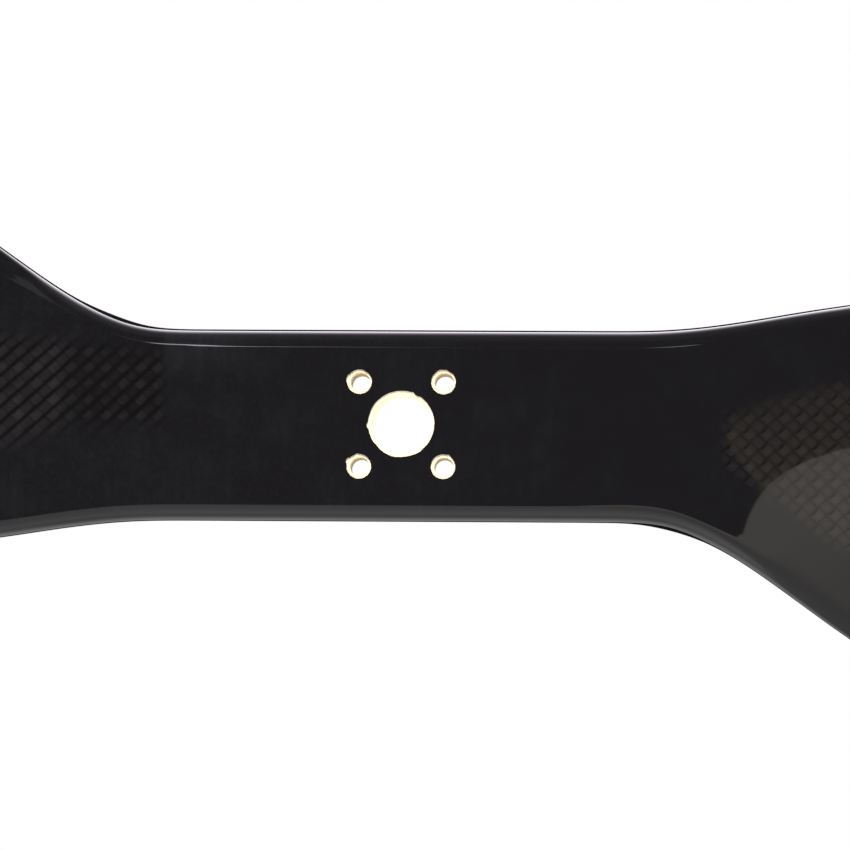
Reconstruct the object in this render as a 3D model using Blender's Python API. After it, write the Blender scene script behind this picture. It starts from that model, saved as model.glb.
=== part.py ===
"""Two-blade moulded composite propeller, 762 mm across (30 inch), for a large multirotor drone.

The blade is a sandwich: two woven carbon skins bonded together along a parting line, over a
drilled hardwood hub core, foam blade cores, unidirectional carbon spar caps and a balsa shear web.

Frame: origin at the centre of the drilled hub, at mid-thickness. +X runs along the right blade,
+Y is forward (the right blade's leading edge), +Z points the way the propeller pulls.
Seen from +Z it turns anticlockwise. Lengths are in millimetres; MM turns them to metres.

In the code, r is the distance out from the hub centre and y is the position across the right
blade. A side of +1 is above the parting surface and -1 is below it.
"""

import math

import bmesh
import bpy
import numpy as np

MM = 0.001

# ---------------------------------------------------------------- driving dimensions (mm, degrees)
TIP_RADIUS = 381.0           # 30 inch propeller
PITCH = 254.0                # 10 inch geometric pitch, reached where the twist has run in

HUB_THICK = 9.0              # clamp thickness, face to face
HUB_HALF_WIDTH = 16.05
HUB_END = 38.0               # the straight hub and its wooden core end here
CENTRE_HOLE_R = 5.15
BOLT_SQUARE = 14.14          # side of the square of bolt holes: 20 mm bolt circle
BOLT_HOLE_R = 1.65           # M3 clearance
CUT_BACK = 0.42              # the cloth stops this far outside every hole and bares a ring of wood

# hub flank, on each side of the parting line
EDGE_WALL = 0.35             # short vertical wall
EDGE_ROUND = 3.2             # radius that rolls the wall over to the bevel
FLANK_ANGLE = 47.0           # slope where the round meets the flat bevel
FLANK_WIDTH = 2.7            # plan width of the whole flank

SKIN = 0.3                   # one ply of cloth under its clear resin
SKIN_INNER_MIN = 0.14        # least height of the skin's inner surface
SEAM_GAP = 0.1               # bond line between the two skins
HUB_LAND = 1.0               # width of the bonding land, where the skins meet, at the hub

# airfoil
UPPER_SHARE = 1.5            # greatest height above the parting surface, times the thickness column
LOWER_SHARE = 0.64           # and greatest depth below
BLUNT_TE = 0.5               # added on each side towards the trailing edge, to blunt it
BLUNT_TE_THICK = 3.0         # the blunting shrinks where the thickness column is below this

TWIST_AXIS_Y = 0.3           # the chord line turns about this line
TWIST_START = HUB_END
TWIST_RUN = 120.0            # length over which the twist runs in
TWIST_BEND = 0.83            # below 1 it comes in early
RAKE = 1.3                   # rise of the blades over the hub's parting line
RAKE_START, RAKE_RUN = 58.0, 41.0
LE_TURN_START, LE_TURN_RUN = 51.0, 90.0   # the leading edge turns from hub bevel to airfoil
TE_TURN_START, TE_TURN_RUN = 49.0, 49.0   # the trailing edge turns first

# inner pieces
FIT = 0.2                    # bond line between any two inner pieces
END_GAP = 0.4                # gap between pieces that meet end to end
MIN_REACH = 0.06             # least half height of an inner piece
BLADE_ROOT = HUB_END + END_GAP
BLADE_CORE_END = 318.0
WEB_END = 276.0
WEB_SLOT_CLOSE = 1.0         # beyond the web the cores close up over this length
WEB_HALF = 0.75
TIP_FILL_START = BLADE_CORE_END + END_GAP
TIP_FILL_END = 370.0

CAP_THICK = 0.5              # spar caps
CAP_START = 24.0             # let into the wood beyond the bolt holes
CAP_END = BLADE_CORE_END
CAP_HUB_WIDTH, CAP_ROOT_WIDTH, CAP_TIP_WIDTH = 23.0, 17.0, 5.6
CAP_NARROW_START, CAP_NARROW_END = 44.0, 90.0   # from hub width to root width

# planform stations: radius, leading edge (+y), trailing edge (-y), thickness
STATIONS = np.array([
    (0.0, HUB_HALF_WIDTH, HUB_HALF_WIDTH, HUB_THICK),
    (HUB_END, HUB_HALF_WIDTH, HUB_HALF_WIDTH, HUB_THICK),
    (44.0, 16.15, 16.45, HUB_THICK),
    (50.0, 16.6, 18.45, 8.9), (57.0, 17.5, 22.15, 8.8), (64.0, 18.65, 26.9, 8.7),
    (70.0, 19.6, 31.2, 8.5), (76.0, 20.4, 35.4, 8.4), (84.0, 21.5, 40.1, 8.2),
    (94.0, 22.8, 44.3, 8.0), (106.0, 23.8, 46.6, 7.8), (122.0, 24.3, 46.3, 7.4),
    (150.0, 23.6, 41.4, 6.6), (190.0, 21.0, 34.0, 5.6), (240.0, 17.2, 25.8, 4.4),
    (290.0, 13.0, 20.0, 3.4), (330.0, 9.3, 17.2, 2.8), (355.0, 6.2, 15.5, 2.4),
    (368.0, 3.2, 14.0, 2.0), (376.0, -0.4, 12.0, 1.75), (TIP_RADIUS, -5.2, 8.4, 1.5),
])
RADIUS, LEADING, TRAILING, THICKNESS = range(4)

# radii of the mesh ribs: close together where the planform turns, wider outboard
RIBS = [
    0.0, CAP_START, HUB_END, BLADE_ROOT, 41.0, 44.0, 48.0, 52.0, 57.0, 63.0, 69.0, 75.0,
    82.0, 90.0, 100.0, 111.0, 123.0, 137.0, 155.0, 178.0, 206.0, 240.0,
    WEB_END, WEB_END + WEB_SLOT_CLOSE, BLADE_CORE_END, TIP_FILL_START,
    342.0, 360.0, TIP_FILL_END, 377.0, TIP_RADIUS,
]
RIB_CLEARANCE = 0.1          # a rib this close to the end of a piece is left out of it

# material looks
MATERIALS = {
    "woven_carbon": dict(colour=(0.012, 0.012, 0.013), roughness=0.22, coat=1.0),
    "unidirectional_carbon": dict(colour=(0.022, 0.022, 0.024), roughness=0.38),
    "beech": dict(colour=(0.80, 0.66, 0.42), roughness=0.6),
    "balsa": dict(colour=(0.78, 0.66, 0.48), roughness=0.75),
    "structural_foam": dict(colour=(0.86, 0.83, 0.74), roughness=0.85),
    "thickened_epoxy": dict(colour=(0.62, 0.56, 0.40), roughness=0.45),
    "carbon_filled_resin": dict(colour=(0.03, 0.03, 0.032), roughness=0.35),
}


# ---------------------------------------------------------------- curves
def smooth(t):
    """Eased step from 0 at t = 0 to 1 at t = 1."""
    t = min(max(t, 0.0), 1.0)
    return t * t * (3.0 - 2.0 * t)


def ramp(r, start, run):
    """Eased step that begins at start and is complete after run."""
    return smooth((r - start) / run)


def blend(a, b, share):
    return (1 - share) * a + share * b


def evenly(start, stop, steps):
    """Positions from start to stop, both included."""
    return [start + (stop - start) * k / steps for k in range(steps + 1)]


def monotone_tangents(x, y):
    """Monotone cubic tangents through the stations; the first one is level."""
    step = np.diff(x)
    slope = np.diff(y) / step
    tangents = np.zeros_like(y)
    for i in range(1, len(x) - 1):
        if slope[i - 1] * slope[i] > 0:
            w1 = 2 * step[i] + step[i - 1]
            w2 = step[i] + 2 * step[i - 1]
            tangents[i] = (w1 + w2) / (w1 / slope[i - 1] + w2 / slope[i])
    tangents[-1] = slope[-1]
    return tangents


STATION_RADII = STATIONS[:, RADIUS]
TANGENTS = {
    column: monotone_tangents(STATION_RADII, STATIONS[:, column])
    for column in (LEADING, TRAILING, THICKNESS)
}


def station(r, column):
    """One column of the stations, read at radius r along its cubic."""
    r = min(max(r, 0.0), TIP_RADIUS)
    i = min(int(np.searchsorted(STATION_RADII, r, side="right")) - 1, len(STATION_RADII) - 2)
    step = STATION_RADII[i + 1] - STATION_RADII[i]
    t = (r - STATION_RADII[i]) / step
    value, tangent = STATIONS[:, column], TANGENTS[column]
    return float(
        (1 + 2 * t) * (1 - t) ** 2 * value[i] + t * (1 - t) ** 2 * step * tangent[i]
        + t * t * (3 - 2 * t) * value[i + 1] + t * t * (t - 1) * step * tangent[i + 1]
    )


def planform(r):
    """Leading edge and trailing edge distances from the blade line, and the chord."""
    leading, trailing = station(r, LEADING), station(r, TRAILING)
    return leading, trailing, leading + trailing


def twist(r):
    """Slope of the chord line: flat through the hub, true geometric pitch past the run-in."""
    if r <= TWIST_START:
        return 0.0
    run_in = ramp(r, TWIST_START, TWIST_RUN) ** TWIST_BEND
    return math.tan(math.atan(PITCH / (2 * math.pi * r)) * run_in)


def chord_z(r, y):
    """Height of the parting surface."""
    return (y - TWIST_AXIS_Y) * twist(r) + RAKE * ramp(r, RAKE_START, RAKE_RUN)


# ---------------------------------------------------------------- outer section
ROUND_WIDTH = EDGE_ROUND * (1 - math.sin(math.radians(FLANK_ANGLE)))
ROUND_TOP = EDGE_WALL + EDGE_ROUND * math.cos(math.radians(FLANK_ANGLE))


def flank(d):
    """Hub edge profile: height above the parting line at a distance d in from the edge."""
    top = HUB_THICK / 2
    if d <= 0:
        return 0.0
    if d < ROUND_WIDTH:
        return EDGE_WALL + EDGE_ROUND * math.sqrt(max(0.0, 1 - (1 - d / EDGE_ROUND) ** 2))
    if d < FLANK_WIDTH:
        return ROUND_TOP + (top - ROUND_TOP) * (d - ROUND_WIDTH) / (FLANK_WIDTH - ROUND_WIDTH)
    return top


def airfoil(s):
    """Four-digit thickness form along the chord: 1 at its thickest, 0 at both ends."""
    s = min(max(s, 0.0), 1.0)
    form = 0.2969 * math.sqrt(s) - 0.1260 * s - 0.3516 * s**2 + 0.2843 * s**3 - 0.1036 * s**4
    return form / 0.1


def edge_turns(r):
    """How far the leading and the trailing edge have turned from hub bevel, 0, to airfoil, 1."""
    return ramp(r, LE_TURN_START, LE_TURN_RUN), ramp(r, TE_TURN_START, TE_TURN_RUN)


def height(r, y, side):
    """Signed height of the outer surface over the parting surface."""
    leading, trailing, chord = planform(r)
    thick = station(r, THICKNESS)
    s = (leading - y) / chord
    hub = min(flank(leading - y), flank(y + trailing))
    share = UPPER_SHARE if side > 0 else LOWER_SHARE
    blunt = BLUNT_TE * min(1.0, thick / BLUNT_TE_THICK)
    blade = share * thick * airfoil(s) + blunt * max(0.0, s) ** 4
    return side * blend(hub, blade, blend(*edge_turns(r), smooth(s)))


# section points at each edge: distance in at the hub, and share of the chord on the airfoil
HUB_NODES = [0.0, 0.109, 0.43, ROUND_WIDTH, FLANK_WIDTH]
AIRFOIL_NODES = [0.0, 0.006, 0.026, 0.07, 0.135]
MIDDLE_NODES = 3             # evenly spaced between the two edges' points


def section_ys(r):
    """Positions across the chord, from the leading edge to the trailing edge."""
    leading, trailing, chord = planform(r)
    front, back = [
        [blend(hub, share * chord, turn) for hub, share in zip(HUB_NODES, AIRFOIL_NODES)]
        for turn in edge_turns(r)
    ]
    middle = evenly(leading - front[-1], -trailing + back[-1], MIDDLE_NODES + 1)[1:-1]
    return [leading - d for d in front] + middle + [-trailing + d for d in reversed(back)]


def close_on_seam(line, side):
    """Bring both ends of a section line to the bond line between the skins."""
    for end in (0, -1):
        line[end] = (line[end][0], side * SEAM_GAP / 2)
    return line


def outer_line(r, side):
    """Outer surface of the skin as (y, height from the parting surface)."""
    return close_on_seam([(y, height(r, y, side)) for y in section_ys(r)], side)


# ---------------------------------------------------------------- cavity inside the skins
LE_LAND_SHARE = 0.03         # leading edge land, as a share of the chord, up to HUB_LAND
TE_LAND_SHARE = 0.05         # trailing edge land on the airfoil, as a share of the chord


def inner_line(r, side):
    """Inner surface of the skin, set in at both edges by the bonding lands."""
    leading, _, chord = planform(r)
    land_le = min(HUB_LAND, LE_LAND_SHARE * chord)
    land_te = blend(HUB_LAND, TE_LAND_SHARE * chord, edge_turns(r)[1])
    line = []
    for y in section_ys(r):
        inset = blend(-land_le, land_te, (leading - y) / chord)
        reach = max(abs(height(r, y, side)) - SKIN, SKIN_INNER_MIN)
        line.append((y + inset, side * reach))
    return close_on_seam(line, side)


def cavity(r, y, side):
    """Height of the skin's inner surface at y, read along its straight facets."""
    ys, heights = zip(*reversed(inner_line(r, side)))
    return float(np.interp(y, ys, heights))


def core_limit(r, y, side, under_cap):
    """How far an inner piece reaches at y: up to the spar cap if under it, else up to the skin."""
    reach = abs(cavity(r, y, side)) - FIT
    if under_cap:
        reach -= CAP_THICK + FIT
    return side * max(reach, MIN_REACH)


# ---------------------------------------------------------------- mesh building
def span_stations(start, end):
    """Radii of the ribs from start to end, both included."""
    inside = [r for r in RIBS if start + RIB_CLEARANCE < r < end - RIB_CLEARANCE]
    return [start, *inside, end]


def world(x, y, h):
    """A point at span x and chord position y, at height h from the parting surface."""
    blade_y = y if x >= 0 else -y
    return (x * MM, y * MM, (chord_z(abs(x), blade_y) + h) * MM)


def ring(x, top, bottom):
    """A closed section from its upper line and its lower line, both in the same direction."""
    return [world(x, y, h) for y, h in top] + [world(x, y, h) for y, h in reversed(bottom)]


def add_object(name, mesh):
    obj = bpy.data.objects.new(name, mesh)
    bpy.context.scene.collection.objects.link(obj)
    return obj


def to_mesh(name, bm):
    mesh = bpy.data.meshes.new(name)
    bm.to_mesh(mesh)
    bm.free()
    return mesh


def face_outwards(bm):
    bmesh.ops.recalc_face_normals(bm, faces=bm.faces)
    if bm.calc_volume(signed=True) < 0:
        bmesh.ops.reverse_faces(bm, faces=bm.faces)


def add_piece(name, bm, material, sharp_angle):
    """Turn a closed bmesh into a shaded object; edges over sharp_angle degrees stay sharp."""
    face_outwards(bm)
    mesh = to_mesh(name, bm)
    mesh.materials.append(material)
    mesh.shade_smooth()
    mesh.set_sharp_from_angle(angle=math.radians(sharp_angle))
    return add_object(name, mesh)


def loft(name, rings, material):
    """A closed solid through rings of equal length, capped at both ends."""
    bm = bmesh.new()
    rows = [[bm.verts.new(p) for p in points] for points in rings]
    count = len(rows[0])
    for a, b in zip(rows[:-1], rows[1:]):
        for i in range(count):
            j = (i + 1) % count
            bm.faces.new((a[i], a[j], b[j], b[i]))
    bm.faces.new(list(reversed(rows[0])))
    bm.faces.new(rows[-1])
    return add_piece(name, bm, material, sharp_angle=35)


def make_material(name, colour, roughness, coat=0.0):
    material = bpy.data.materials.new(name)
    material.use_nodes = True
    shader = material.node_tree.nodes["Principled BSDF"]
    shader.inputs["Base Color"].default_value = (*colour, 1.0)
    shader.inputs["Roughness"].default_value = roughness
    shader.inputs["Coat Weight"].default_value = coat
    return material


# ---------------------------------------------------------------- cutters
HOLE_CUT_DEPTH = 30.0
POCKET_OVERRUN = 2.0         # the pocket cutters run out past the end of the hub core


def drill(obj, cutters):
    for cutter in cutters:
        cut = obj.modifiers.new("drilled_" + cutter.name, "BOOLEAN")
        cut.operation = "DIFFERENCE"
        cut.solver = "EXACT"
        cut.object = cutter


def add_cutter(name, bm):
    cutter = add_object(name, to_mesh(name, bm))
    cutter.hide_render = True
    cutter.display_type = "WIRE"
    return cutter


def hole_cutter(name, x, y, radius, segments):
    bm = bmesh.new()
    bmesh.ops.create_cone(
        bm, cap_ends=True, segments=segments,
        radius1=radius * MM, radius2=radius * MM, depth=HOLE_CUT_DEPTH * MM)
    cutter = add_cutter(name, bm)
    cutter.location = (x * MM, y * MM, 0.0)
    return cutter


def hole_set(prefix, extra):
    """The centre hole and the four bolt holes, each opened out by extra on the radius."""
    half = BOLT_SQUARE / 2
    cutters = [hole_cutter(prefix + "_centre", 0.0, 0.0, CENTRE_HOLE_R + extra, segments=40)]
    for i, (sx, sy) in enumerate(((1, 1), (-1, 1), (-1, -1), (1, -1))):
        cutters.append(hole_cutter(
            f"{prefix}_bolt_{i + 1}", sx * half, sy * half, BOLT_HOLE_R + extra, segments=20))
    return cutters


def pocket_cutter(name, side_x, side_z):
    """Box that cuts the shallow rebate for the root of one spar cap in the hub core."""
    floor_z = HUB_THICK / 2 - SKIN - FIT - CAP_THICK - FIT
    x_inner, x_outer = CAP_START - FIT, HUB_END + POCKET_OVERRUN
    width = CAP_HUB_WIDTH + 2 * FIT
    bm = bmesh.new()
    bmesh.ops.create_cube(bm, size=1.0)
    for v in bm.verts:
        v.co.x = side_x * (x_inner if v.co.x < 0 else x_outer) * MM
        v.co.y = v.co.y * width * MM
        v.co.z = side_z * (floor_z if v.co.z < 0 else HUB_THICK) * MM
    face_outwards(bm)
    return add_cutter(name, bm)


def pocket_set():
    return [
        pocket_cutter(f"pocket_{end}_{face}", side_x, side_z)
        for end, side_x in (("right", 1), ("left", -1))
        for face, side_z in (("top", 1), ("bottom", -1))
    ]


# ---------------------------------------------------------------- skins
def skin(name, side, material):
    """One skin from tip to tip: outer and inner surfaces, joined along the bonding lands."""
    right = span_stations(0.0, TIP_RADIUS)
    xs = [-r for r in reversed(right[1:])] + right
    bm = bmesh.new()

    def row(x, line):
        points = line(abs(x), side)
        if x < 0:  # the left blade is the right one turned half a turn
            points = [(-y, h) for y, h in reversed(points)]
        return [bm.verts.new(world(x, y, h)) for y, h in points]

    rows = [(row(x, outer_line), row(x, inner_line)) for x in xs]
    strips = range(len(rows[0][0]) - 1)
    for (out_a, in_a), (out_b, in_b) in zip(rows[:-1], rows[1:]):
        for i in strips:
            bm.faces.new((out_a[i], out_a[i + 1], out_b[i + 1], out_b[i]))
            bm.faces.new((in_a[i + 1], in_a[i], in_b[i], in_b[i + 1]))
        bm.faces.new((out_a[0], out_b[0], in_b[0], in_a[0]))
        bm.faces.new((in_a[-1], in_b[-1], out_b[-1], out_a[-1]))
    for outer, inner, step in ((*rows[0], 1), (*rows[-1], -1)):
        for i in strips:
            bm.faces.new((outer[i], inner[i], inner[i + 1], outer[i + 1])[::step])
    return add_piece(name, bm, material, sharp_angle=28)


# ---------------------------------------------------------------- hub
BEAD_LAND_GAP = 0.15         # from the bonding land to the bead
BEAD_DEPTH = 1.0             # from the land to the bead's inner face
BEAD_HALF_HEIGHTS = (0.36, 0.62, 0.8)   # from the land inwards
CORE_EDGE_Y = HUB_HALF_WIDTH - HUB_LAND - BEAD_DEPTH - BEAD_LAND_GAP
CORE_SHOULDER_Y = 12.9       # inside this the top and bottom of the core are straight across


def hub_core(material):
    """Beech block that fills the hub between the skins."""
    rings = []
    for x in (-HUB_END, HUB_END):
        direction = 1 if x >= 0 else -1
        top, bottom = [
            [(y, core_limit(abs(x), direction * y, side, under_cap=False))
             for y in (CORE_EDGE_Y, CORE_SHOULDER_Y, -CORE_SHOULDER_Y, -CORE_EDGE_Y)]
            for side in (1, -1)
        ]
        rings.append(ring(x, top, bottom))
    return loft("hub_core", rings, material)


def seam_bead(name, sign, material):
    """Adhesive bead laid inside the hub along the joint of the two skins."""
    land_y = HUB_HALF_WIDTH - HUB_LAND
    ys = [sign * y for y in evenly(land_y - BEAD_LAND_GAP, land_y - BEAD_DEPTH, 2)]
    top = list(zip(ys, BEAD_HALF_HEIGHTS))
    bottom = [(y, -h) for y, h in top]
    return loft(name, [ring(x, top, bottom) for x in (-HUB_END, HUB_END)], material)


# ---------------------------------------------------------------- spar caps
SPAR_CHORD_SHARE = 0.33      # the spar's place behind the leading edge
SPAR_SHIFT_START, SPAR_SHIFT_RUN = 40.0, 50.0


def spar_y(r):
    """Middle of the spar: on the hub centre line, moving to its share of the chord outboard."""
    leading, _, chord = planform(r)
    return (leading - SPAR_CHORD_SHARE * chord) * ramp(r, SPAR_SHIFT_START, SPAR_SHIFT_RUN)


def cap_width(r):
    """Eased from the hub width to the root width, then a straight taper to the tip width."""
    if r <= CAP_NARROW_END:
        narrowed = ramp(r, CAP_NARROW_START, CAP_NARROW_END - CAP_NARROW_START)
        return blend(CAP_HUB_WIDTH, CAP_ROOT_WIDTH, narrowed)
    taper = (r - CAP_NARROW_END) / (CAP_END - CAP_NARROW_END)
    return blend(CAP_ROOT_WIDTH, CAP_TIP_WIDTH, taper)


def spar_cap(name, side, material):
    """Unidirectional carbon tape under the skin, from its pocket in the hub core outwards."""
    rings = []
    for r in span_stations(CAP_START, CAP_END):
        half, middle = cap_width(r) / 2, spar_y(r)
        ys = evenly(middle + half, middle - half, 4)
        near = [(y, cavity(r, y, side) - side * FIT) for y in ys]
        far = [(y, h - side * CAP_THICK) for y, h in near]
        rings.append(ring(r, near, far))
    return loft(name, rings, material)


# ---------------------------------------------------------------- blade filling
# Each section function gives a piece's points at radius r, front to back, as (y, under_cap).
# A y listed both clear of and under the cap makes the step at the cap's edge.
LAND_GAP = 0.25              # from a bonding land to the nearest inner piece
TOW_WIDTH, TOW_CHORD_SHARE = 2.4, 0.06      # the smaller of the width and the share of chord
BOND_WIDTH, BOND_CHORD_SHARE = 4.5, 0.09


def fill_edges(r):
    """Front and back limits of the inner pieces."""
    line = inner_line(r, 1)
    return line[0][0] - LAND_GAP, line[-1][0] + LAND_GAP


def tow_back(r):
    return fill_edges(r)[0] - min(TOW_WIDTH, TOW_CHORD_SHARE * planform(r)[2])


def bond_front(r):
    return fill_edges(r)[1] + min(BOND_WIDTH, BOND_CHORD_SHARE * planform(r)[2])


def slot_half(r):
    """Half the gap between the nose and tail cores: room for the web, then one bond line."""
    return WEB_HALF + FIT if r < WEB_END + WEB_SLOT_CLOSE else FIT / 2


def points(start, stop, steps, under_cap=False):
    return [(y, under_cap) for y in evenly(start, stop, steps)]


def nose_section(r):
    cap_edge = spar_y(r) + cap_width(r) / 2 + FIT
    clear = points(tow_back(r) - FIT, cap_edge, 2)
    return clear + points(cap_edge, spar_y(r) + slot_half(r), 2, under_cap=True)


def tail_section(r):
    cap_edge = spar_y(r) - cap_width(r) / 2 - FIT
    covered = points(spar_y(r) - slot_half(r), cap_edge, 2, under_cap=True)
    return covered + points(cap_edge, bond_front(r) + FIT, 5)


def web_section(r):
    """Thin upright plate between the upper and lower spar caps."""
    return points(spar_y(r) + WEB_HALF, spar_y(r) - WEB_HALF, 1, under_cap=True)


def tow_section(r):
    return points(fill_edges(r)[0], tow_back(r), 4)


def bond_section(r):
    return points(bond_front(r), fill_edges(r)[1], 4)


def tip_section(r):
    return points(*fill_edges(r), 4)


# name, section, start, end, material
FILLING = [
    ("right_nose_core", nose_section, BLADE_ROOT, BLADE_CORE_END, "structural_foam"),
    ("right_tail_core", tail_section, BLADE_ROOT, BLADE_CORE_END, "structural_foam"),
    ("right_shear_web", web_section, BLADE_ROOT, WEB_END, "balsa"),
    ("right_leading_edge_tow", tow_section, BLADE_ROOT, BLADE_CORE_END, "unidirectional_carbon"),
    ("right_trailing_edge_bond", bond_section, BLADE_ROOT, BLADE_CORE_END, "thickened_epoxy"),
    ("right_tip_fill", tip_section, TIP_FILL_START, TIP_FILL_END, "carbon_filled_resin"),
]


def filling_piece(name, section, start, end, material):
    """A piece that fills the height of the cavity, cut back where it lies under the spar caps."""
    rings = []
    for r in span_stations(start, end):
        top, bottom = [
            [(y, core_limit(r, y, side, under_cap)) for y, under_cap in section(r)]
            for side in (1, -1)
        ]
        rings.append(ring(r, top, bottom))
    return loft(name, rings, material)


def other_blade(obj):
    """The same piece in the left blade: the right one's mesh, turned half a turn."""
    twin = add_object(obj.name.replace("right_", "left_"), obj.data)
    twin.rotation_euler = (0.0, 0.0, math.pi)
    return twin


# ---------------------------------------------------------------- the model
def build_skins(materials):
    cloth_cuts = hole_set("cloth_cut", CUT_BACK)
    skins = [
        skin("upper_skin", 1, materials["woven_carbon"]),
        skin("lower_skin", -1, materials["woven_carbon"]),
    ]
    for piece in skins:
        drill(piece, cloth_cuts)
    return skins


def build_hub(materials):
    core = hub_core(materials["beech"])
    drill(core, pocket_set() + hole_set("drill", 0.0))
    return [
        core,
        seam_bead("front_hub_seam_bead", 1, materials["thickened_epoxy"]),
        seam_bead("rear_hub_seam_bead", -1, materials["thickened_epoxy"]),
    ]


def build_blades(materials):
    tape = materials["unidirectional_carbon"]
    right = [
        spar_cap("right_upper_spar_cap", 1, tape),
        spar_cap("right_lower_spar_cap", -1, tape),
    ]
    for name, section, start, end, material in FILLING:
        right.append(filling_piece(name, section, start, end, materials[material]))
    return right + [other_blade(piece) for piece in right]


def main():
    for obj in list(bpy.data.objects):
        bpy.data.objects.remove(obj, do_unlink=True)

    materials = {name: make_material(name, **look) for name, look in MATERIALS.items()}
    axis = add_object("propeller_axis", None)
    for piece in build_skins(materials) + build_hub(materials) + build_blades(materials):
        piece.parent = axis


main()
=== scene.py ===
"""Looks of a two-blade carbon propeller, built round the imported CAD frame.

The hub's axis is Z through the origin and the blades lie along X. +Y is the back, -Y the front, and the left blade
(-X) is the right one given a half turn about Z. The two cloth skins and the drilled hub block are built here at a fine
pitch and stand for their CAD solids. Every other CAD piece is kept and gets a procedural material. Lengths are
millimetres, except in the materials, which work in metres.
"""

import math

import bmesh
import bpy
import numpy as np
from mathutils import Matrix, Vector


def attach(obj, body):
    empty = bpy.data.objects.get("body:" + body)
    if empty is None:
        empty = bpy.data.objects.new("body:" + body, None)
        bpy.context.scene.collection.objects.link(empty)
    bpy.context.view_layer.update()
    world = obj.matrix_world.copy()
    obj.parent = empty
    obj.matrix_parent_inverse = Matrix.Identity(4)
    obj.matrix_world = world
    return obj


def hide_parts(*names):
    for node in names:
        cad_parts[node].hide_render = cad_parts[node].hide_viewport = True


MM = 0.001

# ---------------------------------------------------------------- section rules, as in the CAD
TIP_RADIUS = 381.0
PITCH = 254.0
HUB_THICK = 9.0
HUB_HALF_WIDTH = 16.05
EDGE_WALL = 0.35                       # upright part of the hub's edge, above the parting surface
EDGE_ROUND = 3.2
FLANK_ANGLE = 47.0
FLANK_WIDTH = 2.7                      # bevel width below, on both sides
FLANK_BACK, FLANK_FRONT = 3.08, 2.35   # bevel width above, on the hub's +Y and -Y side
BULGE = 0.085
SKIN = 0.3
SEAM_GAP = 0.1
UPPER_SHARE, LOWER_SHARE = 0.75, 0.32  # of the airfoil's thickness, above and below the parting surface
EDGE_TE = 0.5                          # height of the trailing edge
THIN = 3.0                             # sections thinner than this have a lower trailing edge
TWIST_AXIS_Y = 0.3
TWIST_BEND = 0.83
RAKE = 1.3

# Where a change along the blade begins, and how far it runs
TWIST_SPAN = (38.0, 120.0)
RAKE_SPAN = (58.0, 41.0)
LEAD_BLEND = (51.0, 90.0)              # from hub edge to airfoil, at the leading side
TRAIL_BLEND = (49.0, 49.0)             # and at the trailing side
CREASE = 0.05                          # softness of the hub's crease
CREASE_GROWTH = ((0.55, 28.0, 10.0), (1.5, 51.0, 16.0), (2.0, 59.0, 8.0))  # (gain, start, run)

# Radius, leading edge's and trailing edge's distance from the blade's line, nominal thickness
STATIONS = np.array([
    (0.0, 16.05, 16.05, 9.0), (38.0, 16.05, 16.05, 9.0), (44.0, 16.15, 16.45, 9.0),
    (50.0, 16.6, 18.45, 8.9), (57.0, 17.5, 22.15, 8.8), (64.0, 18.65, 26.9, 8.7),
    (70.0, 19.6, 31.2, 8.5), (76.0, 20.4, 35.4, 8.4), (84.0, 21.5, 40.1, 8.2),
    (94.0, 22.8, 44.3, 8.0), (106.0, 23.8, 46.6, 7.8), (122.0, 24.3, 46.3, 7.4),
    (150.0, 23.6, 41.4, 6.6), (190.0, 21.0, 34.0, 5.6), (240.0, 17.2, 25.8, 4.4),
    (290.0, 13.0, 20.0, 3.4), (330.0, 9.3, 17.2, 2.8), (355.0, 6.2, 15.5, 2.4),
    (368.0, 3.2, 14.0, 2.0), (376.0, -0.4, 12.0, 1.75), (381.0, -5.2, 8.4, 1.5),
])


def smooth(value, start=0.0, run=1.0):
    """Eases from 0 at start to 1 at start + run."""
    part = np.clip((value - start) / run, 0.0, 1.0)
    return part * part * (3.0 - 2.0 * part)


def monotone_cubic(knots, values, at):
    span = np.diff(knots)
    slope = np.diff(values) / span
    tangent = np.zeros_like(values)
    for i in range(1, len(knots) - 1):
        if slope[i - 1] * slope[i] > 0:
            before = 2 * span[i] + span[i - 1]
            after = span[i] + 2 * span[i - 1]
            tangent[i] = (before + after) / (before / slope[i - 1] + after / slope[i])
    tangent[-1] = slope[-1]
    k = np.clip(np.searchsorted(knots, at, side="right") - 1, 0, len(knots) - 2)
    part = (at - knots[k]) / span[k]
    rest = 1 - part
    return ((1 + 2 * part) * rest ** 2 * values[k] + part * rest ** 2 * span[k] * tangent[k]
            + part * part * (3 - 2 * part) * values[k + 1]
            + part * part * (part - 1) * span[k] * tangent[k + 1])


GRID_STEP = 0.25
GRID = np.arange(0.0, TIP_RADIUS + 0.01, GRID_STEP)
FAIR_SIGMA = 3.0             # reach of the fairing along the blade
UNFAIRED_TIP = (350.0, 15.0)  # start and run of the return to the plain curve


def faired(column):
    """A station column on the fine grid, softened so that reflections run without kinks."""
    raw = monotone_cubic(STATIONS[:, 0], STATIONS[:, column], GRID)
    reach = int(4 * FAIR_SIGMA / GRID_STEP)
    kernel = np.exp(-0.5 * (np.arange(-reach, reach + 1) * GRID_STEP / FAIR_SIGMA) ** 2)
    padded = np.concatenate([raw[reach:0:-1], raw, 2 * raw[-1] - raw[-2:-reach - 2:-1]])
    soft = np.convolve(padded, kernel / kernel.sum(), mode="valid")
    keep = smooth(GRID, *UNFAIRED_TIP)
    return soft * (1 - keep) + raw * keep


CURVES = [faired(column) for column in (1, 2, 3)]


def station(radius):
    """Leading distance, trailing distance and nominal thickness at a radius."""
    return [np.interp(radius, GRID, curve) for curve in CURVES]


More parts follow.
